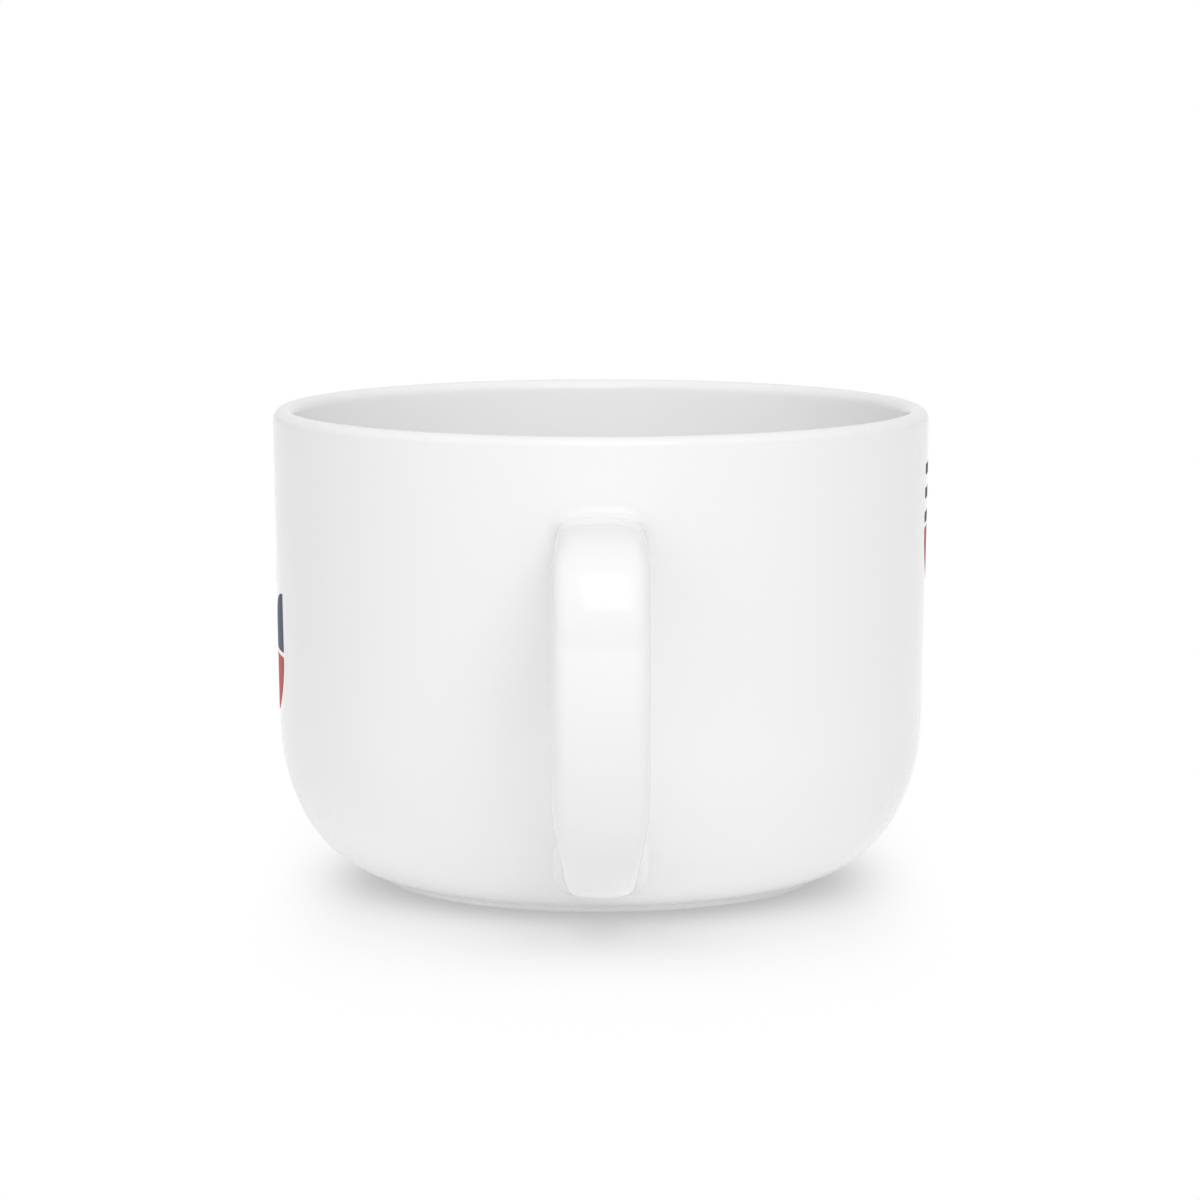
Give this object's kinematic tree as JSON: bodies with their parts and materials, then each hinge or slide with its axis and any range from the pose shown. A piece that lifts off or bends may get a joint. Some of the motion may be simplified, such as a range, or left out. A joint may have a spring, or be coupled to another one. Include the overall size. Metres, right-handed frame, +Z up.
{
  "type": "latte mug",
  "caption": "Wide round-bottomed mug on a low foot ring, with a strap handle and fired prints on its sides, for holding hot drinks.",
  "frame": {"origin": "middle of the foot ring, on the table", "axes": "+Z up along the bowl's axis, +X towards the handle, +Y to the right when the handle is seen from the front"},
  "size_m": [0.137, 0.105, 0.076],
  "materials": {
    "white_glaze": "gloss",
    "red_enamel": "gloss",
    "navy_enamel": "gloss",
    "orange_enamel": "gloss",
    "black_enamel": "gloss"
  },
  "bodies": {
    "root": {"mug_body": "white_glaze", "handle": "white_glaze", "upper_slip_joint": "white_glaze", "lower_slip_joint": "white_glaze", "left_print_red": "red_enamel", "left_print_navy": "navy_enamel", "left_print_orange": "orange_enamel", "right_print_black": "black_enamel", "right_print_red": "red_enamel"}
  },
  "joints": []
}
